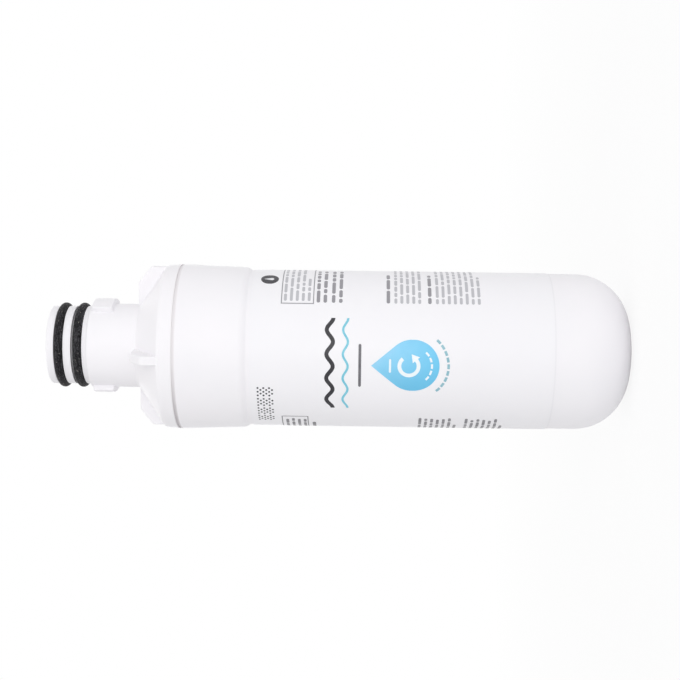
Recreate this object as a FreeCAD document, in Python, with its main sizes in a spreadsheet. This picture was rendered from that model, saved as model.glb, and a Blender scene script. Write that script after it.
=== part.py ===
import FreeCAD, Part
import math
import os
import re

import Sketcher

# Fridge water filter cartridge, standing on its domed end with the neck up.
# The origin is the middle of the flat on the dome, and +Z is the cartridge's axis.
# The label's middle faces -Y and the two bayonet lugs point along +X and -X.

# Driving sizes, in millimetres unless the name says degrees or count
SIZES = {
    # Canister: barrel, dome and the thicker band below the weld
    "body_radius": 28.0,
    "sump_wall": 2.6,
    "dome_corner_radius": 19.0,
    "seam_height": 160.7,
    "band_length": 25.0,
    "band_step": 1.05,
    "band_lead": 1.6,
    "band_edge_round": 3.0,
    "band_flare": 0.8,
    # Weld between canister and head
    "seam_groove_depth": 0.45,
    "seam_groove_width": 0.8,
    "rim_width": 2.55,
    "spigot_length": 8.0,
    "spigot_wall": 2.2,
    "spigot_edge_round": 0.6,
    "weld_gap": 0.1,
    "weld_floor_gap": 0.3,
    # Seat ribs inside the dome
    "seat_height": 22.0,
    "seat_rib_thickness": 2.0,
    "seat_rib_inner_radius": 5.0,
    "seat_rib_count": 4,
    # Head: collar, cone shoulder and fins
    "collar_length": 5.5,
    "collar_taper": 0.4,
    "collar_edge_round": 1.5,
    "shoulder_height": 15.1,
    "shoulder_thickness": 3.3,
    "shoulder_root_round": 1.0,
    "fin_thickness": 3.25,
    "fin_inset": 0.25,
    "fin_rise": 0.7,
    "fin_crown_width": 5.8,
    "fin_crown_drop": 4.5,
    "fin_crown_round": 2.0,
    "fin_edge_round": 0.5,
    "fin_count": 4,
    # Neck: main diameter, stepped land with two glands, open socket
    "neck_radius": 15.2,
    "neck_length": 17.7,
    "neck_step": 1.05,
    "neck_edge_round": 0.4,
    "land_length": 14.5,
    "tip_round": 0.5,
    "gland_depth": 2.0,
    "gland_side_gap": 0.2,
    "rear_gland_slack": 0.6,
    "gland_floor_round": 0.3,
    "front_gland_setback": 4.4,
    "gland_spacing": 6.7,
    "neck_wall": 1.75,
    "socket_depth": 22.0,
    "socket_lead": 0.6,
    "socket_seat": 0.6,
    # Bayonet lugs
    "lug_rise": 1.9,
    "lug_width_degrees": 56.0,
    "lug_length": 7.75,
    "lug_top_gap": 0.85,
    "lug_upper_slope": 0.25,
    "lug_lower_slope": 0.35,
    "lug_edge_round": 0.4,
    "lug_end_round": 0.35,
    "lug_count": 2,
    # Outlet tube on its webs inside the head
    "outlet_bore_radius": 5.0,
    "outlet_bore_depth": 20.0,
    "nipple_socket_radius": 5.4,
    "outlet_tube_wall": 1.8,
    "outlet_lead": 0.6,
    "web_height": 8.0,
    "web_thickness": 2.0,
    "web_count": 4,
    # How far an added rib, fin, lug or web starts inside the wall that carries it
    "root_depth": 1.0,
    # Rubber rings
    "neck_ring_diameter": 3.2,
    "nipple_ring_diameter": 2.0,
    "ring_seat_gap": 0.03,
    # Label film
    "label_thickness": 0.2,
    "label_glue": 0.05,
    "label_bottom": 29.4,
    "label_top_gap": 1.3,
    "label_seam_degrees": 5.0,
    # Filter element
    "flow_gap": 1.3,
    "element_top_drop": 15.7,
    "element_play": 0.3,
    "cap_thickness": 2.5,
    "cap_skirt": 6.0,
    "cap_wall": 1.2,
    "cap_gap": 0.1,
    "cap_edge_round": 0.8,
    "fleece_thickness": 0.8,
    "block_bore_radius": 6.0,
    "nipple_length": 14.0,
    "nipple_gap": 0.1,
    "nipple_bore_radius": 2.2,
    "nipple_ring_setback": 4.0,
    "nipple_lead": 0.6,
}

# Degrees that turn a sub-part drawn towards +X to face -Y
QUARTER_TURN_BACK = -90

# Radii and heights that follow from the sizes, as formulas
BARREL_INSIDE = "(body_radius - sump_wall)"
BAND_BOTTOM = "(seam_height - band_length)"
BAND_RADIUS = "(body_radius + band_step)"
SEAM_RADIUS = f"({BAND_RADIUS} + band_flare)"
SEAM_FLOOR_RADIUS = f"({SEAM_RADIUS} - seam_groove_depth)"
MOUTH_RADIUS = f"({SEAM_FLOOR_RADIUS} - rim_width)"
SPIGOT_OUTSIDE = f"({MOUTH_RADIUS} - weld_gap)"
SPIGOT_INSIDE = f"({SPIGOT_OUTSIDE} - spigot_wall)"
SPIGOT_BOTTOM = "(seam_height - spigot_length)"
COLLAR_TOP = "(seam_height + collar_length)"
COLLAR_TOP_RADIUS = f"({SEAM_RADIUS} - collar_taper)"
NECK_ROOT = "(seam_height + shoulder_height)"
NECK_STEP = f"({NECK_ROOT} + neck_length)"
NECK_TIP = f"({NECK_STEP} + land_length)"
LAND_RADIUS = "(neck_radius - neck_step)"
GLAND_FLOOR = f"({LAND_RADIUS} - gland_depth)"
GLAND_WIDTH = "(neck_ring_diameter + gland_side_gap)"
FRONT_GLAND = f"({NECK_TIP} - front_gland_setback)"
REAR_GLAND = f"({FRONT_GLAND} - gland_spacing)"
SOCKET_RADIUS = f"({GLAND_FLOOR} - neck_wall)"
SOCKET_FLOOR = f"({NECK_TIP} - socket_depth)"
INLET_RADIUS = f"({SOCKET_RADIUS} - socket_seat)"
OUTLET_TUBE_RADIUS = "(nipple_socket_radius + outlet_tube_wall)"
ELEMENT_TOP = "(seam_height - element_top_drop)"
CAP_RADIUS = f"({BARREL_INSIDE} - flow_gap)"
CAP_INSIDE = f"({CAP_RADIUS} - cap_wall)"
FLEECE_RADIUS = f"({CAP_INSIDE} - cap_gap)"
BLOCK_RADIUS = f"({FLEECE_RADIUS} - fleece_thickness)"
BLOCK_BOTTOM = "(seat_height + cap_thickness)"
BLOCK_TOP = f"({ELEMENT_TOP} - cap_thickness)"
NIPPLE_RADIUS = "(nipple_socket_radius - nipple_gap)"
NIPPLE_TOP = f"({ELEMENT_TOP} + nipple_length)"
NIPPLE_RING = f"({NIPPLE_TOP} - nipple_ring_setback)"
NIPPLE_RING_RADIUS = "(nipple_socket_radius - ring_seat_gap - nipple_ring_diameter / 2)"
NIPPLE_GLAND_FLOOR = f"({NIPPLE_RING_RADIUS} - nipple_ring_diameter / 2 - ring_seat_gap)"
NIPPLE_GLAND_WIDTH = "(nipple_ring_diameter + gland_side_gap)"


doc = FreeCAD.newDocument("filter_cartridge")
sheet = doc.addObject("Spreadsheet::Sheet", "Sizes")
for row, (size_name, number) in enumerate(SIZES.items(), start=1):
    sheet.set(f"A{row}", size_name)
    sheet.set(f"B{row}", str(number))
    sheet.setAlias(f"B{row}", size_name)
doc.recompute()


def linked(formula):
    """The formula with each size's name pointing at its cell in the sheet."""
    def point_at_cell(match):
        word = match.group()
        return f"Sizes.{word}" if word in SIZES else word

    return re.sub(r"[a-z_]+", point_at_cell, formula)


def worth(formula):
    """The formula's present value."""
    return float(sheet.evalExpression(linked(formula)))


def shoulder_at(radius):
    """Height of the cone shoulder's outside at a radius."""
    fall = f"(shoulder_height - collar_length) / ({COLLAR_TOP_RADIUS} - neck_radius)"
    return f"({NECK_ROOT} - ({radius} - neck_radius) * {fall})"


# Sketches. A line's or arc's ends are counted up from one, and the sketch's own axes down from minus one
START, END = range(1, 3)
HORIZONTAL_AXIS, VERTICAL_AXIS = range(-1, -3, -1)
SKETCH_ORIGIN = (HORIZONTAL_AXIS, START)


def add_sketch(body, name):
    """An empty sketch on the body's own XZ plane: its x is the radius, its y the height."""
    plane = next(item for item in body.Origin.OriginFeatures if item.Role == "XZ_Plane")
    sketch = body.newObject("Sketcher::SketchObject", name)
    sketch.AttachmentSupport = [(plane, "")]
    sketch.MapMode = "FlatFace"
    return sketch


def bind(sketch, kind, *target, formula):
    """Adds a driving constraint whose value is a formula of the sheet."""
    index = sketch.addConstraint(Sketcher.Constraint(kind, *target, worth(formula)))
    sketch.setExpression(f"Constraints[{index}]", linked(formula))


def pin(sketch, geometry, end, corner):
    """Holds a point at its corner's radius and height."""
    radius, height = corner[:2]
    for kind, formula, axis in (("DistanceX", radius, VERTICAL_AXIS), ("DistanceY", height, HORIZONTAL_AXIS)):
        if formula == "0":
            sketch.addConstraint(Sketcher.Constraint("PointOnObject", geometry, end, axis))
        else:
            bind(sketch, kind, *SKETCH_ORIGIN, geometry, end, formula=formula)


def rounded_corner(before, corner, after, radius):
    """Where a rounding leaves the two sides of a corner, and its centre."""
    to_before = (before - corner).normalize()
    to_after = (after - corner).normalize()
    half_angle = to_before.getAngle(to_after) / 2
    reach = radius / math.tan(half_angle)
    middle = (to_before + to_after).normalize()
    centre = corner + middle * (radius / math.sin(half_angle))
    return corner + to_before * reach, corner + to_after * reach, centre


def arc_between(start, finish, centre, radius):
    """The short arc between two points, and which of its ends is the start."""
    start_angle = math.atan2(start.y - centre.y, start.x - centre.x)
    finish_angle = math.atan2(finish.y - centre.y, finish.x - centre.x)
    turn = (finish_angle - start_angle + math.pi) % (2 * math.pi) - math.pi
    circle = Part.Circle(centre, FreeCAD.Vector(0, 0, 1), radius)
    if turn > 0:
        return Part.ArcOfCircle(circle, start_angle, start_angle + turn), START, END
    return Part.ArcOfCircle(circle, finish_angle, finish_angle - turn), END, START


def draw_outline(sketch, corners):
    """A closed outline through corners given as (radius, height) or (radius, height, rounding)."""
    count = len(corners)
    points = [FreeCAD.Vector(worth(corner[0]), worth(corner[1]), 0) for corner in corners]
    arrivals = list(points)
    departures = list(points)
    centres = {}
    for index, corner in enumerate(corners):
        if len(corner) == 3:
            sides = (points[index - 1], points[index], points[(index + 1) % count])
            arrivals[index], departures[index], centres[index] = rounded_corner(*sides, worth(corner[2]))
    lines = [
        sketch.addGeometry(Part.LineSegment(departures[index], arrivals[(index + 1) % count]))
        for index in range(count)
    ]
    for index, corner in enumerate(corners):
        line_in, line_out = lines[index - 1], lines[index]
        if index not in centres:
            sketch.addConstraint(Sketcher.Constraint("Coincident", line_in, END, line_out, START))
            pin(sketch, line_out, START, corner)
            continue
        arc_shape, arc_start, arc_end = arc_between(
            arrivals[index], departures[index], centres[index], worth(corner[2])
        )
        arc = sketch.addGeometry(arc_shape)
        sketch.addConstraint(Sketcher.Constraint("Tangent", line_in, END, arc, arc_start))
        sketch.addConstraint(Sketcher.Constraint("Tangent", arc, arc_end, line_out, START))
        bind(sketch, "Radius", arc, formula=corner[2])
        sharp_point = sketch.addGeometry(Part.Point(points[index]), True)
        sketch.addConstraint(Sketcher.Constraint("PointOnObject", sharp_point, START, line_in))
        sketch.addConstraint(Sketcher.Constraint("PointOnObject", sharp_point, START, line_out))
        pin(sketch, sharp_point, START, corner)


# Features of a body. An edge is picked by its middle point, within this distance
EDGE_TOLERANCE = 0.001


def add_body(label):
    body = doc.addObject("PartDesign::Body", label)
    body.Label = label
    return body


def revolve(body, name, corners, width_degrees=None):
    """Turns an outline round the axis, fully or over a width centred on the sketch plane."""
    sketch = add_sketch(body, f"{name}_outline")
    draw_outline(sketch, corners)
    feature = body.newObject("PartDesign::Revolution", name)
    feature.Profile = sketch
    feature.ReferenceAxis = (sketch, ["V_Axis"])
    feature.Angle = 360
    if width_degrees:
        feature.Midplane = True
        feature.setExpression("Angle", linked(width_degrees))
    doc.recompute()
    return feature


def groove(body, name, corners):
    """Cuts an outline out all round the axis, and makes sure that it cut something."""
    volume_before = body.Shape.Volume
    sketch = add_sketch(body, f"{name}_outline")
    draw_outline(sketch, corners)
    feature = body.newObject("PartDesign::Groove", name)
    feature.Profile = sketch
    feature.ReferenceAxis = (sketch, ["V_Axis"])
    feature.Angle = 360
    doc.recompute()
    if body.Shape.Volume >= volume_before:
        raise RuntimeError(f"{name} cut nothing")


def plate(body, name, corners, thickness):
    """A flat plate of the outline's shape, centred on the sketch plane."""
    sketch = add_sketch(body, f"{name}_outline")
    draw_outline(sketch, corners)
    feature = body.newObject("PartDesign::Pad", name)
    feature.Profile = sketch
    feature.SideType = "Symmetric"
    feature.setExpression("Length", linked(thickness))
    doc.recompute()
    return feature


def repeat_round_axis(body, feature, count, whole_body=False):
    """Repeats a feature evenly round the axis, or with it the whole body made so far."""
    volume_before = body.Shape.Volume
    pattern = body.newObject("PartDesign::PolarPattern", f"{feature.Name}_ring")
    if whole_body:
        pattern.TransformMode = "Whole shape"
    else:
        pattern.Originals = [feature]
    pattern.Axis = (next(item for item in body.Origin.OriginFeatures if item.Role == "Z_Axis"), [""])
    pattern.Angle = 360
    pattern.setExpression("Occurrences", linked(count))
    body.Tip = pattern
    doc.recompute()
    if body.Shape.Volume <= volume_before:
        raise RuntimeError(f"{feature.Name} was not repeated")


def round_edges(body, name, radius, is_wanted):
    """Rounds the edges of the body whose middle points are wanted."""
    shape = body.Shape
    wanted = []
    for number, edge in enumerate(shape.Edges, start=1):
        middle = edge.valueAt((edge.FirstParameter + edge.LastParameter) / 2)
        if is_wanted(middle):
            wanted.append(f"Edge{number}")
    if not wanted:
        raise RuntimeError(f"{name} found no edge")
    carrier = body.Tip
    volume_before = shape.Volume
    rounding = body.newObject("PartDesign::Fillet", name)
    rounding.Base = (carrier, wanted)
    rounding.setExpression("Radius", linked(radius))
    body.Tip = rounding
    doc.recompute()
    if not 0 < body.Shape.Volume < volume_before:
        raise RuntimeError(f"{name} rounded nothing")


# Sub-parts

def make_sump():
    """The canister: dome, barrel, flared band, weld mouth and the ribs that carry the element."""
    sump = add_body("sump")
    lower_groove_edge = "(seam_height - seam_groove_width / 2)"
    mouth_floor = f"({SPIGOT_BOTTOM} - weld_floor_gap)"
    revolve(sump, "canister", [
        ("0", "0"),
        ("body_radius", "0", "dome_corner_radius"),
        ("body_radius", BAND_BOTTOM),
        (BAND_RADIUS, f"{BAND_BOTTOM} + band_lead", "band_edge_round"),
        (SEAM_RADIUS, lower_groove_edge),
        (SEAM_FLOOR_RADIUS, lower_groove_edge),
        (SEAM_FLOOR_RADIUS, "seam_height"),
        (MOUTH_RADIUS, "seam_height"),
        (MOUTH_RADIUS, mouth_floor),
        (BARREL_INSIDE, mouth_floor),
        (BARREL_INSIDE, "sump_wall", "dome_corner_radius - sump_wall"),
        ("0", "sump_wall"),
    ])
    mid_wall_radius = "(body_radius - sump_wall / 2)"
    rib = plate(sump, "seat_rib", [
        ("seat_rib_inner_radius", "sump_wall / 2"),
        (mid_wall_radius, "sump_wall / 2", "dome_corner_radius - sump_wall / 2"),
        (mid_wall_radius, "seat_height"),
        ("seat_rib_inner_radius", "seat_height"),
    ], "seat_rib_thickness")
    repeat_round_axis(sump, rib, "seat_rib_count")
    return sump


def make_head_cap():
    """The moulded head: weld spigot, collar, cone shoulder, fins, neck, lugs and outlet tube."""
    head = add_body("head_cap")
    add_fins(head)
    upper_groove_edge = "(seam_height + seam_groove_width / 2)"
    revolve(head, "shell", [
        (SPIGOT_INSIDE, SPIGOT_BOTTOM),
        (SPIGOT_OUTSIDE, SPIGOT_BOTTOM, "spigot_edge_round"),
        (SPIGOT_OUTSIDE, "seam_height"),
        (SEAM_FLOOR_RADIUS, "seam_height"),
        (SEAM_FLOOR_RADIUS, upper_groove_edge),
        (SEAM_RADIUS, upper_groove_edge),
        (COLLAR_TOP_RADIUS, COLLAR_TOP, "collar_edge_round"),
        ("neck_radius", NECK_ROOT, "shoulder_root_round"),
        ("neck_radius", NECK_STEP, "neck_edge_round"),
        (LAND_RADIUS, NECK_STEP),
        (LAND_RADIUS, NECK_TIP, "tip_round"),
        (f"{SOCKET_RADIUS} + socket_lead", NECK_TIP),
        (SOCKET_RADIUS, f"{NECK_TIP} - socket_lead"),
        (SOCKET_RADIUS, SOCKET_FLOOR),
        (INLET_RADIUS, SOCKET_FLOOR),
        (INLET_RADIUS, f"{shoulder_at(INLET_RADIUS)} - shoulder_thickness"),
        (SPIGOT_INSIDE, f"{shoulder_at(SPIGOT_INSIDE)} - shoulder_thickness"),
    ])
    add_outlet_tube(head)
    add_lugs(head)
    glands = [
        ("front_gland", FRONT_GLAND, "0"),
        ("rear_gland", REAR_GLAND, "rear_gland_slack"),
    ]
    for name, height, slack in glands:
        gland_bottom = f"({height} - {GLAND_WIDTH} / 2)"
        gland_top = f"({height} + {GLAND_WIDTH} / 2 + {slack})"
        groove(head, name, [
            (GLAND_FLOOR, gland_bottom, "gland_floor_round"),
            (f"{LAND_RADIUS} + root_depth", gland_bottom),
            (f"{LAND_RADIUS} + root_depth", gland_top),
            (GLAND_FLOOR, gland_top, "gland_floor_round"),
        ])
    return head


def add_outlet_tube(head):
    """Webs across the socket's floor, with the outlet tube hung between them."""
    web_inner = f"({OUTLET_TUBE_RADIUS} - root_depth)"
    web_outer = f"({INLET_RADIUS} + root_depth)"
    web_bottom = f"({SOCKET_FLOOR} - web_height)"
    web = plate(head, "outlet_web", [
        (web_inner, web_bottom),
        (web_outer, web_bottom),
        (web_outer, SOCKET_FLOOR),
        (web_inner, SOCKET_FLOOR),
    ], "web_thickness")
    repeat_round_axis(head, web, "web_count")
    tube_bottom = f"({ELEMENT_TOP} + element_play)"
    bore_floor = f"({SOCKET_FLOOR} - outlet_bore_depth)"
    revolve(head, "outlet_tube", [
        ("nipple_socket_radius + outlet_lead", tube_bottom),
        (OUTLET_TUBE_RADIUS, tube_bottom),
        (OUTLET_TUBE_RADIUS, SOCKET_FLOOR),
        ("outlet_bore_radius + outlet_lead", SOCKET_FLOOR),
        ("outlet_bore_radius", f"{SOCKET_FLOOR} - outlet_lead"),
        ("outlet_bore_radius", bore_floor),
        ("nipple_socket_radius", bore_floor),
        ("nipple_socket_radius", f"{tube_bottom} + outlet_lead"),
    ])


def add_fins(head):
    """Fins that fill the corner between the cone shoulder and the collar's outline, made before the shell
    so that one fin's crown can be rounded by itself."""
    fin_root = "(neck_radius - root_depth)"
    fin_outside = f"({COLLAR_TOP_RADIUS} - fin_inset)"
    fin_top = f"({NECK_ROOT} + fin_rise)"
    fin = plate(head, "fin", [
        (fin_root, fin_top),
        (f"{fin_outside} - fin_crown_width", fin_top, "fin_crown_round"),
        (fin_outside, f"{fin_top} - fin_crown_drop", "fin_crown_round"),
        (fin_outside, f"{shoulder_at(fin_outside)} - root_depth"),
        (fin_root, f"{shoulder_at(fin_root)} - 2 * root_depth"),
    ], "fin_thickness")

    def on_crown_edge(point):
        on_side = abs(abs(point.y) - worth("fin_thickness / 2")) < EDGE_TOLERANCE
        above_cone = point.z > worth(shoulder_at(str(point.x))) - worth("root_depth / 2")
        clear_of_neck = point.x > worth(fin_root) + EDGE_TOLERANCE
        return on_side and above_cone and clear_of_neck

    round_edges(head, "fin_edges", "fin_edge_round", on_crown_edge)
    repeat_round_axis(head, fin, "fin_count", whole_body=True)


def add_lugs(head):
    """Bayonet lugs: a square upper side, and a sloping lower side that the lock runs on."""
    lug_outside = "(neck_radius + lug_rise)"
    lug_inside = "(neck_radius - root_depth)"
    lug_top = f"({NECK_STEP} - lug_top_gap)"
    lug_bottom = f"({lug_top} - lug_length)"
    lug = revolve(head, "lug", [
        (lug_inside, lug_bottom),
        ("neck_radius", lug_bottom),
        (lug_outside, f"{lug_bottom} + lug_lower_slope", "lug_edge_round"),
        (lug_outside, f"{lug_top} - lug_upper_slope", "lug_edge_round"),
        ("neck_radius", lug_top),
        (lug_inside, lug_top),
    ], "lug_width_degrees")
    repeat_round_axis(head, lug, "lug_count")
    half_width = worth("lug_width_degrees / 2")
    clear_of_neck = worth("neck_radius + lug_edge_round")

    def on_lug_end(point):
        turn = math.degrees(math.atan2(abs(point.y), abs(point.x)))
        on_end = abs(turn - half_width) < EDGE_TOLERANCE
        above_cone = point.z > worth(NECK_ROOT)
        outside_neck = math.hypot(point.x, point.y) > clear_of_neck
        return on_end and above_cone and outside_neck

    round_edges(head, "lug_ends", "lug_end_round", on_lug_end)


def make_ring(label, centre_radius, diameter, height):
    """A rubber O-ring lying level."""
    ring = doc.addObject("Part::Torus", label)
    ring.Label = label
    ring.setExpression("Radius1", linked(centre_radius))
    ring.setExpression("Radius2", linked(f"{diameter} / 2"))
    ring.setExpression("Placement.Base.z", linked(height))
    return ring


def make_label_film():
    """The film wrapped round the barrel, its ends apart at the back."""
    film = add_body("label_film")
    inside = "(body_radius + label_glue)"
    outside = f"({inside} + label_thickness)"
    label_top = f"({BAND_BOTTOM} - label_top_gap)"
    revolve(film, "wrap", [
        (inside, "label_bottom"),
        (outside, "label_bottom"),
        (outside, label_top),
        (inside, label_top),
    ], "360 - label_seam_degrees")
    face_front = FreeCAD.Rotation(FreeCAD.Vector(0, 0, 1), QUARTER_TURN_BACK)
    film.Placement = FreeCAD.Placement(FreeCAD.Vector(), face_front)
    return film


def make_sleeve(label, inside, outside, bottom, top):
    """A plain thick tube."""
    sleeve = add_body(label)
    revolve(sleeve, f"{label}_wall", [(inside, bottom), (outside, bottom), (outside, top), (inside, top)])
    return sleeve


def make_element_top_cap():
    """The element's upper cap: a disc with a skirt round the block, and the outlet nipple."""
    cap = add_body("element_top_cap")
    skirt_bottom = f"({BLOCK_TOP} - cap_skirt)"
    revolve(cap, "disc_and_nipple", [
        ("nipple_bore_radius", BLOCK_TOP),
        (CAP_INSIDE, BLOCK_TOP),
        (CAP_INSIDE, skirt_bottom),
        (CAP_RADIUS, skirt_bottom),
        (CAP_RADIUS, ELEMENT_TOP, "cap_edge_round"),
        (NIPPLE_RADIUS, ELEMENT_TOP),
        (NIPPLE_RADIUS, f"{NIPPLE_TOP} - nipple_lead"),
        (f"{NIPPLE_RADIUS} - nipple_lead", NIPPLE_TOP),
        ("nipple_bore_radius", NIPPLE_TOP),
    ])
    groove(cap, "nipple_gland", [
        (NIPPLE_GLAND_FLOOR, f"{NIPPLE_RING} - {NIPPLE_GLAND_WIDTH} / 2"),
        ("nipple_socket_radius", f"{NIPPLE_RING} - {NIPPLE_GLAND_WIDTH} / 2"),
        ("nipple_socket_radius", f"{NIPPLE_RING} + {NIPPLE_GLAND_WIDTH} / 2"),
        (NIPPLE_GLAND_FLOOR, f"{NIPPLE_RING} + {NIPPLE_GLAND_WIDTH} / 2"),
    ])
    return cap


def make_element_bottom_cap():
    """The element's closed lower cap, which stands on the seat ribs."""
    cap = add_body("element_bottom_cap")
    skirt_top = f"({BLOCK_BOTTOM} + cap_skirt)"
    revolve(cap, "disc", [
        ("0", "seat_height"),
        (CAP_RADIUS, "seat_height", "cap_edge_round"),
        (CAP_RADIUS, skirt_top),
        (CAP_INSIDE, skirt_top),
        (CAP_INSIDE, BLOCK_BOTTOM),
        ("0", BLOCK_BOTTOM),
    ])
    return cap


neck_ring_radius = f"{GLAND_FLOOR} + ring_seat_gap + neck_ring_diameter / 2"
sub_parts = [
    make_sump(),
    make_head_cap(),
    make_ring("neck_o_ring_front", neck_ring_radius, "neck_ring_diameter", FRONT_GLAND),
    make_ring("neck_o_ring_rear", neck_ring_radius, "neck_ring_diameter", REAR_GLAND),
    make_label_film(),
    make_sleeve("carbon_block", "block_bore_radius", BLOCK_RADIUS, BLOCK_BOTTOM, BLOCK_TOP),
    make_sleeve("fleece_wrap", BLOCK_RADIUS, FLEECE_RADIUS, BLOCK_BOTTOM, BLOCK_TOP),
    make_element_top_cap(),
    make_ring("nipple_o_ring", NIPPLE_RING_RADIUS, "nipple_ring_diameter", NIPPLE_RING),
    make_element_bottom_cap(),
]
doc.recompute()

# Nothing is written unless every object came out whole
for item in doc.Objects:
    if "Invalid" in item.State or "Error" in item.State:
        raise RuntimeError(f"{item.Label} failed: {item.State}")
for sub_part in sub_parts:
    if sub_part.Shape.isNull() or not sub_part.Shape.isValid():
        raise RuntimeError(f"{sub_part.Label} has no valid shape")

os.makedirs("parts", exist_ok=True)
for sub_part in sub_parts:
    sub_part.Shape.exportStep(f"parts/{sub_part.Label}.step")
    solids = len(sub_part.Shape.Solids)
    print(sub_part.Label, solids, "solid,", round(sub_part.Shape.Volume), "cubic millimetres")
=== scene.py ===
import math
import random

import bmesh
import bpy
from mathutils import Matrix, Vector


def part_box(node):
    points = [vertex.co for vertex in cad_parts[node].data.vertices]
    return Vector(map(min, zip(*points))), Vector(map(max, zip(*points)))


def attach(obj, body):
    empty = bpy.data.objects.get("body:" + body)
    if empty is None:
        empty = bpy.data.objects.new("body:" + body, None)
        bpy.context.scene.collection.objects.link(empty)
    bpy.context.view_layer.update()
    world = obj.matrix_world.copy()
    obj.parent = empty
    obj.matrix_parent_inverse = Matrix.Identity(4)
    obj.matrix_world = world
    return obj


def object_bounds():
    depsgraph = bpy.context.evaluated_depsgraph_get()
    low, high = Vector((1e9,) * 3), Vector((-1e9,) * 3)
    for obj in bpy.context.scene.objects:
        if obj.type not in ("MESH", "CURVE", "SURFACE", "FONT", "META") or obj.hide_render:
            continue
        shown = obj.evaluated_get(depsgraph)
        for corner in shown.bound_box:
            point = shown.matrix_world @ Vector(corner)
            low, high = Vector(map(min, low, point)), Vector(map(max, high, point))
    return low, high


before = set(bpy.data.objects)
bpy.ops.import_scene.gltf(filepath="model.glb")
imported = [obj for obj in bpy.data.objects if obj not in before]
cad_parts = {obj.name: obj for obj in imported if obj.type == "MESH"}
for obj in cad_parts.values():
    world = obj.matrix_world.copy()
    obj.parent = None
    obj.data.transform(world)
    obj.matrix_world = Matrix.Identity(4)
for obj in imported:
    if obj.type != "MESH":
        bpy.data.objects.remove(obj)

cad_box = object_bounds()
MM = 0.001


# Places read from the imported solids, in metres
film_low, film_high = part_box("label_film")
FILM_RADIUS = film_high.x
FILM_FOOT = film_low.z
SEAM_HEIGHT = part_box("sump")[1].z
OBJECT_MIDDLE = (cad_box[0] + cad_box[1]) / 2


# Small helpers for node materials

# Nearly all of a noise texture lies between these two values
NOISE_LOW = 0.3
NOISE_HIGH = 0.7


def colour(red, green, blue):
    """A colour as it looks on a screen, 0 to 255, turned into the linear values that shaders take."""
    levels = []
    for level in (red / 255, green / 255, blue / 255):
        levels.append(level / 12.92 if level <= 0.04045 else ((level + 0.055) / 1.055) ** 2.4)
    return (*levels, 1.0)


def add_node(tree, kind, inputs=None, **settings):
    """A new node, with its settings, and with each input either linked to a socket or given a value."""
    node = tree.nodes.new(kind)
    for name, value in settings.items():
        setattr(node, name, value)
    for name, value in (inputs or {}).items():
        if isinstance(value, bpy.types.NodeSocket):
            tree.links.new(value, node.inputs[name])
        else:
            node.inputs[name].default_value = value
    return node


def new_material(name, **values):
    """A material with one Principled shader, whose even values are set on its own sockets."""
    material = bpy.data.materials.new(name)
    material.use_nodes = True
    shader = material.node_tree.nodes["Principled BSDF"]
    for socket, value in values.items():
        shader.inputs[socket.replace("_", " ")].default_value = value
    return material, material.node_tree, shader


def feed(tree, shader, **sources):
    """Links each source to the shader's socket of that name."""
    for socket, source in sources.items():
        tree.links.new(source, shader.inputs[socket.replace("_", " ")])


def place(tree):
    """The point on the object, in metres."""
    return add_node(tree, "ShaderNodeTexCoord").outputs["Object"]


def measure(tree, axis):
    """How far the point on the object lies along the axis, in metres."""
    return add_node(tree, "ShaderNodeSeparateXYZ", {"Vector": place(tree)}).outputs[axis]


def calculate(tree, operation, first, second=0.0):
    """The result of one step of arithmetic."""
    return add_node(tree, "ShaderNodeMath", {0: first, 1: second}, operation=operation).outputs[0]


def noise(tree, size, detail=3.0, stretch=(1.0, 1.0, 1.0)):
    """Soft blotches of about the given size in metres, drawn out along the axes by stretch."""
    scaled = add_node(tree, "ShaderNodeMapping", {"Vector": place(tree), "Scale": [1 / s for s in stretch]})
    inputs = {"Vector": scaled.outputs["Vector"], "Scale": 1 / size, "Detail": detail}
    return add_node(tree, "ShaderNodeTexNoise", inputs).outputs["Fac"]


def spread(tree, value, low, high, to_low=0.0, to_high=1.0):
    """The value from low to high, mapped from to_low to to_high and held there outside."""
    inputs = {"Value": value, "From Min": low, "From Max": high, "To Min": to_low, "To Max": to_high}
    return add_node(tree, "ShaderNodeMapRange", inputs).outputs["Result"]


def uneven(tree, noise_value, to_low, to_high):
    """A value that wanders between two limits with the noise."""
    return spread(tree, noise_value, NOISE_LOW, NOISE_HIGH, to_low, to_high)


def shades(tree, value, *steps):
    """A colour that goes through the steps, each a position from 0 to 1 and a colour, as the value rises."""
    ramp = add_node(tree, "ShaderNodeValToRGB", {"Fac": value})
    elements = ramp.color_ramp.elements
    while len(elements) < len(steps):
        elements.new(0.5)
    for element, (position, tint) in zip(elements, steps):
        element.position = position
        element.color = tint
    return ramp.outputs["Color"]


def mottled(tree, noise_value, first, second, low=NOISE_LOW, high=NOISE_HIGH):
    """A colour that turns from the first to the second as the noise goes from low to high."""
    return shades(tree, noise_value, (low, first), (high, second))


def tinted(tree, amount, plain, tint):
    """The plain colour, turned towards the tint by the amount."""
    inputs = {"Fac": amount, "Color1": plain, "Color2": tint}
    return add_node(tree, "ShaderNodeMixRGB", inputs).outputs["Color"]


def bump(tree, shader, height, depth, strength=1.0):
    """Relief of the given depth in metres."""
    inputs = {"Height": height, "Distance": depth, "Strength": strength}
    feed(tree, shader, Normal=add_node(tree, "ShaderNodeBump", inputs).outputs["Normal"])


def near_height(tree, height, inner, outer):
    """1 within inner of a height, falling to 0 at outer, all in metres."""
    offset = calculate(tree, "SUBTRACT", measure(tree, "Z"), height)
    return spread(tree, calculate(tree, "ABSOLUTE", offset), inner, outer, to_low=1.0, to_high=0.0)


# Finishes of the moulded, pressed and printed pieces

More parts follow.
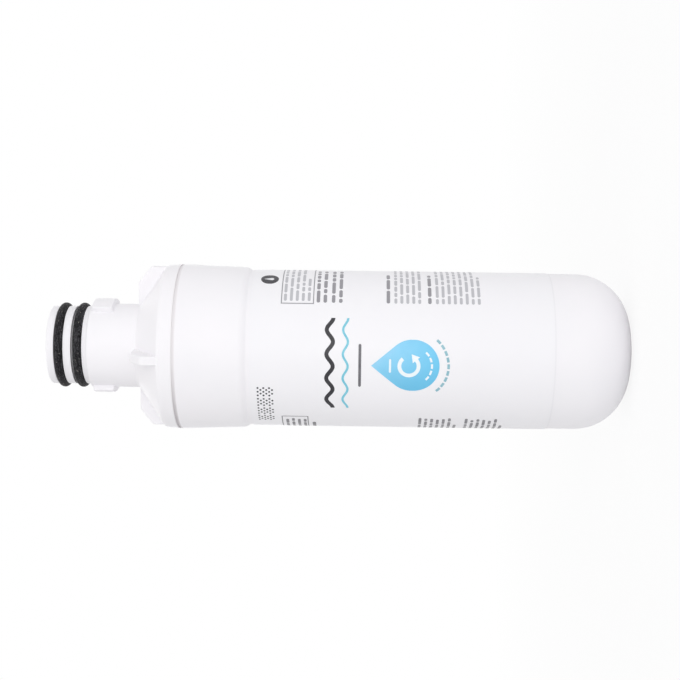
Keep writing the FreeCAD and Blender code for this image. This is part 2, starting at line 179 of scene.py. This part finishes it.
def make_white_plastic():
    """Satin white plastic. Its welded seam is greyer, partly its own colour and partly painted shade of the
    groove, deepest at -X. A painted shadow line runs under the film's foot.
    """
    material, tree, shader = new_material("moulded_white_plastic", Specular_IOR_Level=0.1)
    body = mottled(tree, noise(tree, size=30 * MM), colour(243, 242, 245), colour(246, 244, 247))
    # The seam's grey is partly the weld line's own colour and partly painted shade; the painted shade deepens
    # towards -X, away from the lamps
    painted_shade_side = spread(tree, measure(tree, "X"), low=0.0, high=-28 * MM)
    seam_grey_and_painted_shade = tinted(tree, painted_shade_side, colour(237, 234, 236), colour(211, 207, 210))
    seam = near_height(tree, SEAM_HEIGHT, inner=0.5 * MM, outer=0.9 * MM)
    body = tinted(tree, seam, body, seam_grey_and_painted_shade)
    # Painted shadow: a faint darker line just under the label film's lower edge
    film_foot_painted_shadow = near_height(tree, FILM_FOOT, inner=0.35 * MM, outer=0.7 * MM)
    body = tinted(tree, film_foot_painted_shadow, body, colour(239, 238, 241))
    roughness = uneven(tree, noise(tree, size=9 * MM), 0.34, 0.42)
    feed(tree, shader, Base_Color=body, Roughness=roughness)
    bump(tree, shader, noise(tree, size=0.5 * MM, detail=2.0), depth=0.004 * MM, strength=0.5)
    return material


def make_ring_rubber():
    """Black nitrile rubber with a fine grain, streaks along the ring and a few pale specks of dust."""
    material, tree, shader = new_material("black_ring_rubber", Specular_IOR_Level=0.12)
    grain = noise(tree, size=0.25 * MM, detail=4.0, stretch=(3, 3, 1))
    body = mottled(tree, grain, colour(4, 4, 6), colour(72, 71, 75), low=0.43, high=0.59)
    lines = noise(tree, size=0.5 * MM, stretch=(12, 12, 1))
    streaks = spread(tree, lines, low=0.42, high=0.58, to_high=0.6)
    body = tinted(tree, streaks, body, colour(16, 16, 18))
    specks = spread(tree, noise(tree, size=0.5 * MM, detail=1.0), low=0.7, high=0.74)
    body = tinted(tree, specks, body, colour(128, 124, 118))
    roughness = uneven(tree, noise(tree, size=1.2 * MM), 0.5, 0.65)
    feed(tree, shader, Base_Color=body, Roughness=roughness)
    bump(tree, shader, grain, depth=0.015 * MM, strength=0.6)
    return material


def make_label_film():
    """White satin film with the faint waves of a sheet rolled on by machine."""
    material, tree, shader = new_material("white_label_film", Specular_IOR_Level=0.1)
    body = mottled(tree, noise(tree, size=45 * MM), colour(243, 242, 245), colour(245, 244, 247))
    roughness = uneven(tree, noise(tree, size=6 * MM), 0.3, 0.37)
    feed(tree, shader, Base_Color=body, Roughness=roughness)
    bump(tree, shader, noise(tree, size=7 * MM, stretch=(1, 1, 5)), depth=0.01 * MM, strength=0.4)
    return material


def make_pressed_carbon():
    """Sintered black carbon grains."""
    material, tree, shader = new_material("pressed_carbon_grain", Specular_IOR_Level=0.3)
    grain = noise(tree, size=0.7 * MM, detail=4.0)
    body = mottled(tree, grain, colour(24, 24, 26), colour(58, 58, 61))
    feed(tree, shader, Base_Color=body, Roughness=uneven(tree, grain, 0.95, 0.7))
    bump(tree, shader, grain, depth=0.15 * MM)
    return material


def make_fleece():
    """White non-woven fleece of long soft fibres."""
    material, tree, shader = new_material("fleece_fibres", Roughness=0.95, Sheen_Weight=0.2)
    fibres = noise(tree, size=0.4 * MM, detail=4.0, stretch=(1, 1, 6))
    feed(tree, shader, Base_Color=mottled(tree, fibres, colour(222, 222, 220), colour(243, 243, 240)))
    bump(tree, shader, fibres, depth=0.1 * MM)
    return material


def make_cap_plastic():
    """Natural milky plastic of the element's end caps."""
    material, tree, shader = new_material("milky_cap_plastic", IOR=1.49)
    body = mottled(tree, noise(tree, size=12 * MM), colour(222, 226, 228), colour(230, 233, 235))
    roughness = uneven(tree, noise(tree, size=4 * MM), 0.4, 0.5)
    feed(tree, shader, Base_Color=body, Roughness=roughness)
    return material


# Printing inks

# Between these two values of its noise an ink turns from one colour to the other
COVER_LOW = 0.35
COVER_HIGH = 0.65

DROP_TIP_BLUE = colour(156, 215, 245)
DROP_MIDDLE_BLUE = colour(139, 209, 243)
DROP_END_BLUE = colour(114, 201, 240)
# The blue that painted shade turns the drop to at its -X side
DROP_PAINTED_SHADE_BLUE = colour(104, 190, 228)


def new_ink(name):
    """The material of an ink that lies a little unevenly, and the noise of its cover."""
    material, tree, shader = new_material(name, Specular_IOR_Level=0.3)
    cover = noise(tree, size=1.5 * MM)
    feed(tree, shader, Roughness=uneven(tree, cover, 0.38, 0.32))
    return material, tree, shader, cover


def make_ink(name, thin, full):
    """Printing ink that covers a little unevenly, from its thin to its full colour."""
    material, tree, shader, cover = new_ink(name)
    feed(tree, shader, Base_Color=mottled(tree, cover, thin, full, COVER_LOW, COVER_HIGH))
    return material


def make_ink_with_painted_light(name, full, thin_and_lit_colour):
    """Printing ink of the small print, darker at the label's -X side and paler towards +X as painted light;
    thin spots of its cover also turn towards the paler colour.
    """
    material, tree, shader, cover = new_ink(name)
    # Painted light: the ink pales towards +X and deepens towards -X by how the light falls, not by its cover
    painted_light_side = spread(tree, measure(tree, "X"), low=-25 * MM, high=20 * MM)
    body = tinted(tree, painted_light_side, full, thin_and_lit_colour)
    thin = spread(tree, cover, COVER_LOW, COVER_HIGH, to_high=0.15)
    feed(tree, shader, Base_Color=tinted(tree, thin, body, thin_and_lit_colour))
    return material


def make_drop_ink():
    """Blue ink that deepens from the drop's tip to its round end; towards -X painted shade deepens it more.
    """
    material, tree, shader, _ = new_ink("ink_drop_blue")
    fall = spread(tree, measure(tree, "Z"), low=DROP_TIP * MM, high=(DROP_CENTRE - DROP_RADIUS) * MM)
    blue = shades(tree, fall, (0.0, DROP_TIP_BLUE), (0.5, DROP_MIDDLE_BLUE), (1.0, DROP_END_BLUE))
    blotches = spread(tree, noise(tree, size=5 * MM), COVER_LOW, COVER_HIGH, to_high=0.25)
    blue = tinted(tree, blotches, blue, DROP_END_BLUE)
    # Painted shade: the blue deepens towards -X, the side away from the lamps
    drop_painted_shade = spread(tree, measure(tree, "X"), low=0.0, high=-9 * MM, to_high=0.85)
    feed(tree, shader, Base_Color=tinted(tree, drop_painted_shade, blue, DROP_PAINTED_SHADE_BLUE))
    return material


# Layout of the label print, in millimetres: "along" runs round the barrel from the label's middle line,
# positive towards +X, and "height" is above the foot of the cartridge
INK_RISE = 0.03
INK_SINK = 0.03
CURVE_STEP = 1.0

# Title, subtitle and code bar
TITLE_START = -18.0
TITLE_END = 16.0
TITLE_WAVE = (TITLE_END - TITLE_START) / 4
TITLE_HEIGHT = 106.6
SUBTITLE_HEIGHT = 101.2
CODE_START = -8.4
CODE_END = 6.9
CODE_HEIGHT = 96.2

# Drop with its renewal arrow
DROP_ALONG = -0.55
DROP_CENTRE = 78.0
DROP_RADIUS = 9.2
DROP_TIP = 92.3
ARROW_HEIGHT = 79.3
ARROW_RADIUS = 3.3
ARROW_STROKE = 1.3
ARROW_START_DEGREES = 40
ARROW_END_DEGREES = 310
TIP_BAR_HEIGHT = 85.8
TIP_BAR_REACH = 2.4

# Columns of small print
WORD_SEED = 7
WORD_LENGTHS = (1.8, 6.5)
WORD_GAPS = (0.5, 0.7)
WORD_TALL = 1.0
HEADING_TALL = 1.2
LINE_PITCH = 2.07
COLUMN_WIDTH = 38.0
BOX_INSET = 0.6
BOX_END_GAP = 1.5

# Column at +X, from its box down
RIGHT_COLUMN = 22.0
RIGHT_BOX_LOW = 112.4
RIGHT_BOX_HIGH = 123.9
RIGHT_BOX_ROW = 122.4
RIGHT_BOX_LAST_WIDTH = 14.0
CODE_ROWS = (110.9, 108.5, 105.6, 103.1)
CODE_ROW_WIDTH = 21.0
FIRST_HEADING = 86.6
FIRST_HEADING_WIDTH = 18.0
FIRST_ROW = 84.0
FIRST_ROWS_WIDTH = 30.0
SECOND_HEADING = 72.2
SECOND_HEADING_WIDTH = 17.0
SECOND_ROW = 69.6
SECOND_LAST_WIDTH = 16.0

# Column at -X, from its box down, where the rows start unevenly
LEFT_COLUMN = -23.6
LEFT_BOX_LOW = 114.2
LEFT_BOX_HIGH = 123.6
LEFT_BOX_ROW = 121.6
LEFT_BOX_ROWS = 4
LEFT_BOX_INSET = 1.2
LEFT_BOX_UNEVEN = 2.0
LEFT_HEADING = 112.2
LEFT_HEADING_INSET = 5.0
LEFT_HEADING_END_GAP = 14.0
LEFT_BLOCK_TOPS = (74.7, 58.4)
LEFT_BLOCK_ROWS = 7
LEFT_BLOCK_UNEVEN = 1.5
LEFT_LAST_INSET = 6.0

# Batch dots, and the round field with its small drop
DOT_START = -9.5
DOT_TOP = 131.5
DOT_COLUMN_PITCH = 0.78
DOT_ROW_PITCH = 1.0
DOT_RADIUS = 0.35
DOT_COLUMNS = 24
DOT_ROWS = 6
DOT_BLOCK = 6
FIELD_ALONG = 34.2
FIELD_HEIGHT = 128.4
FIELD_RADIUS = 3.15
SMALL_DROP_CENTRE = 127.7
SMALL_DROP_RADIUS = 0.8
SMALL_DROP_TIP = 130.4


# Shapes of ink, each a thin closed field that follows the film

def wrap(along, height, lift):
    """The point on the label film, lifted off it, all in millimetres."""
    turn = along * MM / FILM_RADIUS
    radius = FILM_RADIUS + lift * MM
    return Vector((radius * math.sin(turn), -radius * math.cos(turn), height * MM))


def add_patch(ink, rows, layer=0):
    """A thin closed field of ink. Each row is a list of (along, height) points, all rows of one length."""
    lift = INK_RISE * (layer + 1)
    tops = [[ink.verts.new(wrap(along, height, lift)) for along, height in row] for row in rows]
    feet = [[ink.verts.new(wrap(along, height, -INK_SINK)) for along, height in row] for row in rows]
    last_row = len(rows) - 1
    last_point = len(rows[0]) - 1
    for row in range(last_row):
        for point in range(last_point):
            corners = ((row, point), (row + 1, point), (row + 1, point + 1), (row, point + 1))
            ink.faces.new([tops[r][p] for r, p in corners])
            ink.faces.new([feet[r][p] for r, p in reversed(corners)])
    rim = [(row, 0) for row in range(last_row)]
    rim += [(last_row, point) for point in range(last_point)]
    rim += [(row, last_point) for row in range(last_row, 0, -1)]
    rim += [(0, point) for point in range(last_point, 0, -1)]
    for (row, point), (next_row, next_point) in zip(rim, rim[1:] + rim[:1]):
        upper_edge = (tops[next_row][next_point], tops[row][point])
        lower_edge = (feet[row][point], feet[next_row][next_point])
        ink.faces.new(upper_edge + lower_edge)


def steps_between(start, end, step):
    """Even values from start to end, no further apart than step."""
    count = max(1, math.ceil(abs(end - start) / step))
    return [start + (end - start) * i / count for i in range(count + 1)]


def add_wave(ink, start, end, height, tall, stroke, wave):
    """A smooth ripple round the barrel, as a pen line of even width."""
    steps_in_a_wave = 24
    reach = (tall - stroke) / 2
    half_stroke = stroke / 2
    rows = []
    for along in steps_between(start, end, wave / steps_in_a_wave):
        phase = 2 * math.pi * (along - start) / wave
        slope = reach * 2 * math.pi / wave * math.sin(phase)
        length = math.hypot(1, slope)
        side = (-slope / length * half_stroke, half_stroke / length)
        middle = (along, height - reach * math.cos(phase))
        rows.append([(middle[0] - side[0], middle[1] - side[1]), (middle[0] + side[0], middle[1] + side[1])])
    add_patch(ink, rows)


def add_bar(ink, start, end, height, tall, layer=0):
    """A straight band round the barrel with rounded ends."""
    low, high = min(start, end), max(start, end)
    radius = min(tall, high - low) / 2
    turns = [math.radians(degrees) for degrees in (20, 45, 70)]
    ends = [(radius * (1 - math.cos(turn)), radius * math.sin(turn)) for turn in turns]
    columns = [(low + inset, half) for inset, half in ends]
    columns += [(along, tall / 2) for along in steps_between(low + radius, high - radius, CURVE_STEP)]
    columns += [(high - inset, half) for inset, half in reversed(ends)]
    add_patch(ink, [[(along, height - half), (along, height + half)] for along, half in columns], layer)


def add_arc(ink, centre, radius, stroke, start_degrees, end_degrees, layer=0):
    """A band bent round a centre. Angles turn from the +along direction towards up."""
    largest_step = 6.0
    rows = []
    for degrees in steps_between(start_degrees, end_degrees, largest_step):
        turn = math.radians(degrees)
        rows.append([
            (centre[0] + reach * math.cos(turn), centre[1] + reach * math.sin(turn))
            for reach in (radius - stroke / 2, radius + stroke / 2)
        ])
    add_patch(ink, rows, layer)


def add_disc(ink, along, height, radius):
    """A round dot."""
    rows = []
    for degrees in range(10, 171, 10):
        turn = math.radians(degrees)
        across = along - radius * math.cos(turn)
        half = radius * math.sin(turn)
        rows.append([(across, height - half), (across, height + half)])
    add_patch(ink, rows)


def add_drop(ink, along, centre, radius, tip, layer=0):
    """A drop: a round end, and straight flanks that touch it and meet in the tip."""
    reach = tip - centre
    touch = math.acos(radius / reach)
    touch_along = radius * math.sin(touch)
    rows = []
    for degrees in range(-84, 85, 4):
        offset = radius * math.sin(math.radians(degrees))
        foot = centre - math.sqrt(radius ** 2 - offset ** 2)
        if abs(offset) < touch_along:
            crown = tip - abs(offset) / math.tan(math.pi / 2 - touch)
        else:
            crown = 2 * centre - foot
        rows.append([(along + offset, foot), (along + offset, crown)])
    add_patch(ink, rows, layer)


def add_block(ink, start, end, low, high):
    """A field with four straight sides."""
    add_patch(ink, [[(along, low), (along, high)] for along in steps_between(start, end, CURVE_STEP)])


def add_frame(ink, start, end, low, high, stroke):
    """The thin outline of a box."""
    for height in (low, high - stroke):
        add_block(ink, start, end, height, height + stroke)
    for along in (start, end - stroke):
        add_block(ink, along, along + stroke, low + stroke, high - stroke)


def add_arrow_head(ink, centre, radius, degrees, wide, long, layer=0):
    """A pointed end for an arc, at the angle where the arc stops and turning the way that angles grow."""
    turn = math.radians(degrees)
    outward = Vector((math.cos(turn), math.sin(turn)))
    onward = Vector((-math.sin(turn), math.cos(turn)))
    foot = Vector(centre) + outward * radius
    rows = []
    # The last share stops just short of the point, so that the tip keeps a width
    for share in (0.0, 0.5, 0.98):
        middle = foot + onward * long * share
        half = outward * wide / 2 * (1 - share)
        rows.append([tuple(middle - half), tuple(middle + half)])
    add_patch(ink, rows, layer)


def add_line_of_words(ink, chance, start, end, height, tall):
    """Bars of different lengths with gaps between, from start to end."""
    heading = 1 if end > start else -1
    done = 0.0
    width = abs(end - start)
    while width - done > tall:
        word = min(chance.uniform(*WORD_LENGTHS), width - done)
        near = start + heading * done
        add_bar(ink, near, near + heading * word, height, tall)
        done += word + chance.uniform(*WORD_GAPS)


def add_rows(ink, chance, start, end, last_end, top, count):
    """Rows of words from the top down, each from start to end, but the last one only to last_end."""
    for row in range(count):
        row_end = end if row < count - 1 else last_end
        add_line_of_words(ink, chance, start, row_end, top - row * LINE_PITCH, WORD_TALL)


def add_dashes(ink, radius, stroke, middles, half_degrees, layer=0):
    """Short bands round the drop's centre, each with the given middle angle and half the angle it covers."""
    centre = (DROP_ALONG, DROP_CENTRE)
    for middle in middles:
        add_arc(ink, centre, radius, stroke, middle - half_degrees, middle + half_degrees, layer)


def finish_ink(ink, name, material):
    """Turns the gathered fields of one ink into a piece that rides on the cartridge."""
    bmesh.ops.recalc_face_normals(ink, faces=ink.faces)
    mesh = bpy.data.meshes.new(name)
    ink.to_mesh(mesh)
    ink.free()
    mesh.materials.append(material)
    piece = bpy.data.objects.new(name, mesh)
    bpy.context.scene.collection.objects.link(piece)
    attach(piece, "root")


# The label's print

def print_title():
    """A dark ripple, a blue one under it in step, and a thin dark bar."""
    dark, blue, code = bmesh.new(), bmesh.new(), bmesh.new()
    add_wave(dark, TITLE_START, TITLE_END, TITLE_HEIGHT, tall=3.6, stroke=1.4, wave=TITLE_WAVE)
    add_wave(blue, TITLE_START, TITLE_END, SUBTITLE_HEIGHT, tall=2.5, stroke=0.8, wave=TITLE_WAVE)
    add_bar(code, CODE_START, CODE_END, CODE_HEIGHT, tall=0.95)
    finish_ink(dark, "print_title", make_ink("ink_title", colour(60, 59, 64), colour(50, 49, 54)))
    finish_ink(blue, "print_subtitle", make_ink("ink_subtitle", colour(132, 203, 222), colour(118, 196, 217)))
    finish_ink(code, "print_code_bar", make_ink("ink_code_bar", colour(118, 117, 122), colour(104, 103, 108)))


def print_drop():
    """The blue drop with a white renewal arrow on it, and the dashes that follow its round end."""
    blue, white, dashes = bmesh.new(), bmesh.new(), bmesh.new()
    add_drop(blue, DROP_ALONG, DROP_CENTRE, DROP_RADIUS, DROP_TIP)
    centre = (DROP_ALONG, ARROW_HEIGHT)
    add_arc(white, centre, ARROW_RADIUS, ARROW_STROKE, ARROW_START_DEGREES, ARROW_END_DEGREES, layer=1)
    add_arrow_head(white, centre, ARROW_RADIUS, ARROW_END_DEGREES, wide=3.2, long=2.6, layer=1)
    add_bar(white, DROP_ALONG - TIP_BAR_REACH, DROP_ALONG + TIP_BAR_REACH, TIP_BAR_HEIGHT, tall=0.7, layer=1)
    add_dashes(white, radius=6.6, stroke=0.7, middles=range(230, 311, 20), half_degrees=7, layer=1)
    add_dashes(dashes, radius=12.3, stroke=0.9, middles=range(226, 315, 11), half_degrees=4)
    finish_ink(blue, "print_drop", make_drop_ink())
    finish_ink(white, "print_arrow", make_ink("ink_white", colour(238, 246, 250), colour(244, 248, 250)))
    finish_ink(dashes, "print_dashes", make_ink("ink_dashes", colour(150, 192, 204), colour(134, 180, 194)))


def print_right_column(grey, dark, chance):
    """The boxed rows, the code rows and two headed blocks of the column at +X."""
    start = RIGHT_COLUMN
    end = start + COLUMN_WIDTH
    box_last_end = start + RIGHT_BOX_LAST_WIDTH
    add_rows(grey, chance, start + BOX_INSET, end - BOX_END_GAP, box_last_end, RIGHT_BOX_ROW, count=5)
    for height in CODE_ROWS:
        add_line_of_words(dark, chance, start, start + CODE_ROW_WIDTH, height, HEADING_TALL)
    add_line_of_words(dark, chance, start, start + FIRST_HEADING_WIDTH, FIRST_HEADING, HEADING_TALL)
    first_end = start + FIRST_ROWS_WIDTH
    add_rows(grey, chance, start, first_end, first_end, FIRST_ROW, count=5)
    add_line_of_words(dark, chance, start, start + SECOND_HEADING_WIDTH, SECOND_HEADING, HEADING_TALL)
    add_rows(grey, chance, start, end, start + SECOND_LAST_WIDTH, SECOND_ROW, count=8)


def print_left_column(grey, dark, chance):
    """The boxed rows, a heading and two blocks of the column at -X."""
    end = LEFT_COLUMN - COLUMN_WIDTH
    for row in range(LEFT_BOX_ROWS):
        start = LEFT_COLUMN - LEFT_BOX_INSET - chance.uniform(0, LEFT_BOX_UNEVEN)
        add_line_of_words(grey, chance, start, end + BOX_END_GAP, LEFT_BOX_ROW - row * LINE_PITCH, WORD_TALL)
    heading_start = LEFT_COLUMN - LEFT_HEADING_INSET
    add_line_of_words(dark, chance, heading_start, end + LEFT_HEADING_END_GAP, LEFT_HEADING, HEADING_TALL)
    for block_top in LEFT_BLOCK_TOPS:
        for row in range(LEFT_BLOCK_ROWS):
            is_last = row == LEFT_BLOCK_ROWS - 1
            inset = LEFT_LAST_INSET if is_last else chance.uniform(0, LEFT_BLOCK_UNEVEN)
            add_line_of_words(grey, chance, LEFT_COLUMN - inset, end, block_top - row * LINE_PITCH, WORD_TALL)


def print_columns():
    """The columns of small print on both sides, as rows of word bars."""
    grey, dark = bmesh.new(), bmesh.new()
    chance = random.Random(WORD_SEED)
    right_end = RIGHT_COLUMN + COLUMN_WIDTH
    left_end = LEFT_COLUMN - COLUMN_WIDTH
    add_frame(dark, RIGHT_COLUMN - BOX_INSET, right_end, RIGHT_BOX_LOW, RIGHT_BOX_HIGH, stroke=0.35)
    add_frame(dark, left_end, LEFT_COLUMN, LEFT_BOX_LOW, LEFT_BOX_HIGH, stroke=0.3)
    print_right_column(grey, dark, chance)
    print_left_column(grey, dark, chance)
    # The second, paler colours are painted light on the +X side of the label
    grey_ink = make_ink_with_painted_light("ink_grey", colour(114, 113, 118), colour(190, 190, 195))
    finish_ink(grey, "print_small_rows", grey_ink)
    dark_ink = make_ink_with_painted_light("ink_dark", colour(104, 103, 108), colour(152, 151, 156))
    finish_ink(dark, "print_headings", dark_ink)


def print_batch_dots():
    """Blocks of staggered ink-jet dots, and the dark round field with a small pale drop on it."""
    dots, disc, pale = bmesh.new(), bmesh.new(), bmesh.new()
    for column in range(DOT_COLUMNS):
        if column % DOT_BLOCK == DOT_BLOCK - 1:
            continue
        for row in range(column % 2, DOT_ROWS, 2):
            along = DOT_START - column * DOT_COLUMN_PITCH
            add_disc(dots, along, DOT_TOP - row * DOT_ROW_PITCH, DOT_RADIUS)
    add_disc(disc, FIELD_ALONG, FIELD_HEIGHT, FIELD_RADIUS)
    add_drop(pale, FIELD_ALONG, SMALL_DROP_CENTRE, SMALL_DROP_RADIUS, SMALL_DROP_TIP, layer=1)
    finish_ink(dots, "print_batch_dots", make_ink("ink_jet", colour(60, 60, 66), colour(46, 46, 52)))
    field_ink = make_ink("ink_round_field", colour(74, 73, 78), colour(62, 61, 66))
    finish_ink(disc, "print_round_field", field_ink)
    finish_ink(pale, "print_small_drop", make_ink("ink_pale", colour(226, 226, 230), colour(234, 234, 237)))


# Camera, light and floor

CAMERA_AZIMUTH = math.radians(10.4)
AXIS_SLOPE = 0.0140
AXIS_TILT = 0.0197
AIM_HEIGHT = 103.6 * MM
CAMERA_DISTANCE = 490.3 * MM
CAMERA_RISE = 3.02 * MM
LENS = 71.3
SENSOR = 36.0

AMBIENT = 0.695
WHITE_SHARE_NEAR = 0.88
FLOOR_NEAR = 0.1
FLOOR_FAR = 0.5
FLOOR_HALF_SIZE = 4.0


def add_camera():
    """The camera lies on its side, so that the standing cartridge crosses the picture, foot to the right."""
    axis_seen = Vector((1, -AXIS_SLOPE, AXIS_TILT)).normalized()
    up_seen = (Vector((0, 1, 0)) - axis_seen * axis_seen.y).normalized()
    seen = Matrix((axis_seen, up_seen, axis_seen.cross(up_seen))).transposed()
    down = Vector((0, 0, -1))
    side = Vector((math.cos(CAMERA_AZIMUTH), math.sin(CAMERA_AZIMUTH), 0))
    real = Matrix((down, side, down.cross(side))).transposed()
    turn = real @ seen.transposed()
    data = bpy.data.cameras.new("photo_camera")
    data.lens = LENS
    data.sensor_width = SENSOR
    camera = bpy.data.objects.new("photo_camera", data)
    place_of_camera = Vector((0, 0, AIM_HEIGHT)) + turn @ Vector((0, CAMERA_RISE, CAMERA_DISTANCE))
    camera.matrix_world = Matrix.Translation(place_of_camera) @ turn.to_4x4()
    bpy.context.scene.collection.objects.link(camera)
    bpy.context.scene.camera = camera


def add_lamp(name, azimuth, elevation, distance, size, level):
    """A soft square lamp aimed at the object. Level is how bright it alone makes white paper facing it."""
    data = bpy.data.lights.new(name, "AREA")
    data.size = size
    data.energy = level * math.pi ** 2 * distance ** 2
    lamp = bpy.data.objects.new(name, data)
    turn, rise = math.radians(azimuth), math.radians(elevation)
    away = Vector((math.sin(turn) * math.cos(rise), -math.cos(turn) * math.cos(rise), math.sin(rise)))
    lamp.location = OBJECT_MIDDLE + away * distance
    lamp.rotation_euler = away.to_track_quat("Z", "Y").to_euler()
    lamp.visible_camera = False
    bpy.context.scene.collection.objects.link(lamp)


def seen_directly(tree):
    """1 for rays that show the background itself: straight, mirrored or through something clear."""
    path = add_node(tree, "ShaderNodeLightPath")
    mirrored_too = calculate(tree, "MAXIMUM", path.outputs["Is Camera Ray"], path.outputs["Is Glossy Ray"])
    return calculate(tree, "MAXIMUM", mirrored_too, path.outputs["Is Transmission Ray"])


def add_world():
    """Even soft light from all round, in front of a white background."""
    world = bpy.data.worlds.new("studio")
    world.use_nodes = True
    bpy.context.scene.world = world
    tree = world.node_tree
    tree.nodes.clear()
    strength = spread(tree, seen_directly(tree), 0.0, 1.0, to_low=AMBIENT, to_high=1.0)
    light = add_node(tree, "ShaderNodeBackground", {"Color": (1, 1, 1, 1), "Strength": strength})
    add_node(tree, "ShaderNodeOutputWorld", {"Surface": light.outputs[0]})


def make_floor_paper():
    """White paper, made whiter where it is seen directly, but less so round the foot, to keep the shadow."""
    material = bpy.data.materials.new("studio_floor")
    material.use_nodes = True
    tree = material.node_tree
    tree.nodes.clear()
    grain = mottled(tree, noise(tree, size=60 * MM), colour(246, 246, 247), colour(249, 249, 250))
    paper = add_node(tree, "ShaderNodeBsdfDiffuse", {"Color": grain})
    white = add_node(tree, "ShaderNodeEmission", {"Color": (1, 1, 1, 1), "Strength": 1.0})
    away = add_node(tree, "ShaderNodeVectorMath", {0: place(tree)}, operation="LENGTH").outputs["Value"]
    white_share = spread(tree, away, FLOOR_NEAR, FLOOR_FAR, to_low=WHITE_SHARE_NEAR, to_high=1.0)
    share = calculate(tree, "MULTIPLY", seen_directly(tree), white_share)
    mix = add_node(tree, "ShaderNodeMixShader", {0: share, 1: paper.outputs[0], 2: white.outputs[0]})
    add_node(tree, "ShaderNodeOutputMaterial", {"Surface": mix.outputs[0]})
    return material


def add_floor():
    """A plain white floor that shows a faint shadow round the foot."""
    half = FLOOR_HALF_SIZE
    corners = [(-half, -half, 0), (half, -half, 0), (half, half, 0), (-half, half, 0)]
    mesh = bpy.data.meshes.new("floor")
    mesh.from_pydata(corners, [], [(0, 1, 2, 3)])
    mesh.materials.append(make_floor_paper())
    floor = bpy.data.objects.new("floor", mesh)
    bpy.context.scene.collection.objects.link(floor)


# The scene

FINISHES = {
    "white_plastic": make_white_plastic(),
    "ring_rubber": make_ring_rubber(),
    "label_film": make_label_film(),
    "pressed_carbon": make_pressed_carbon(),
    "fleece": make_fleece(),
    "cap_plastic": make_cap_plastic(),
}
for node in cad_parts.values():
    for material_slot in node.material_slots:
        material_slot.material = FINISHES[material_slot.material.name]

print_title()
print_drop()
print_columns()
print_batch_dots()

add_camera()
add_world()
add_floor()
add_lamp("side", azimuth=32, elevation=9, distance=1.3, size=1.0, level=0.275)
add_lamp("head", azimuth=-20, elevation=70, distance=0.7, size=0.5, level=0.1)
add_lamp("low", azimuth=10, elevation=-2, distance=1.3, size=0.25, level=0.11)
add_lamp("back_fill", azimuth=190, elevation=25, distance=1.3, size=1.0, level=0.15)
bpy.context.scene.view_settings.view_transform = "Standard"
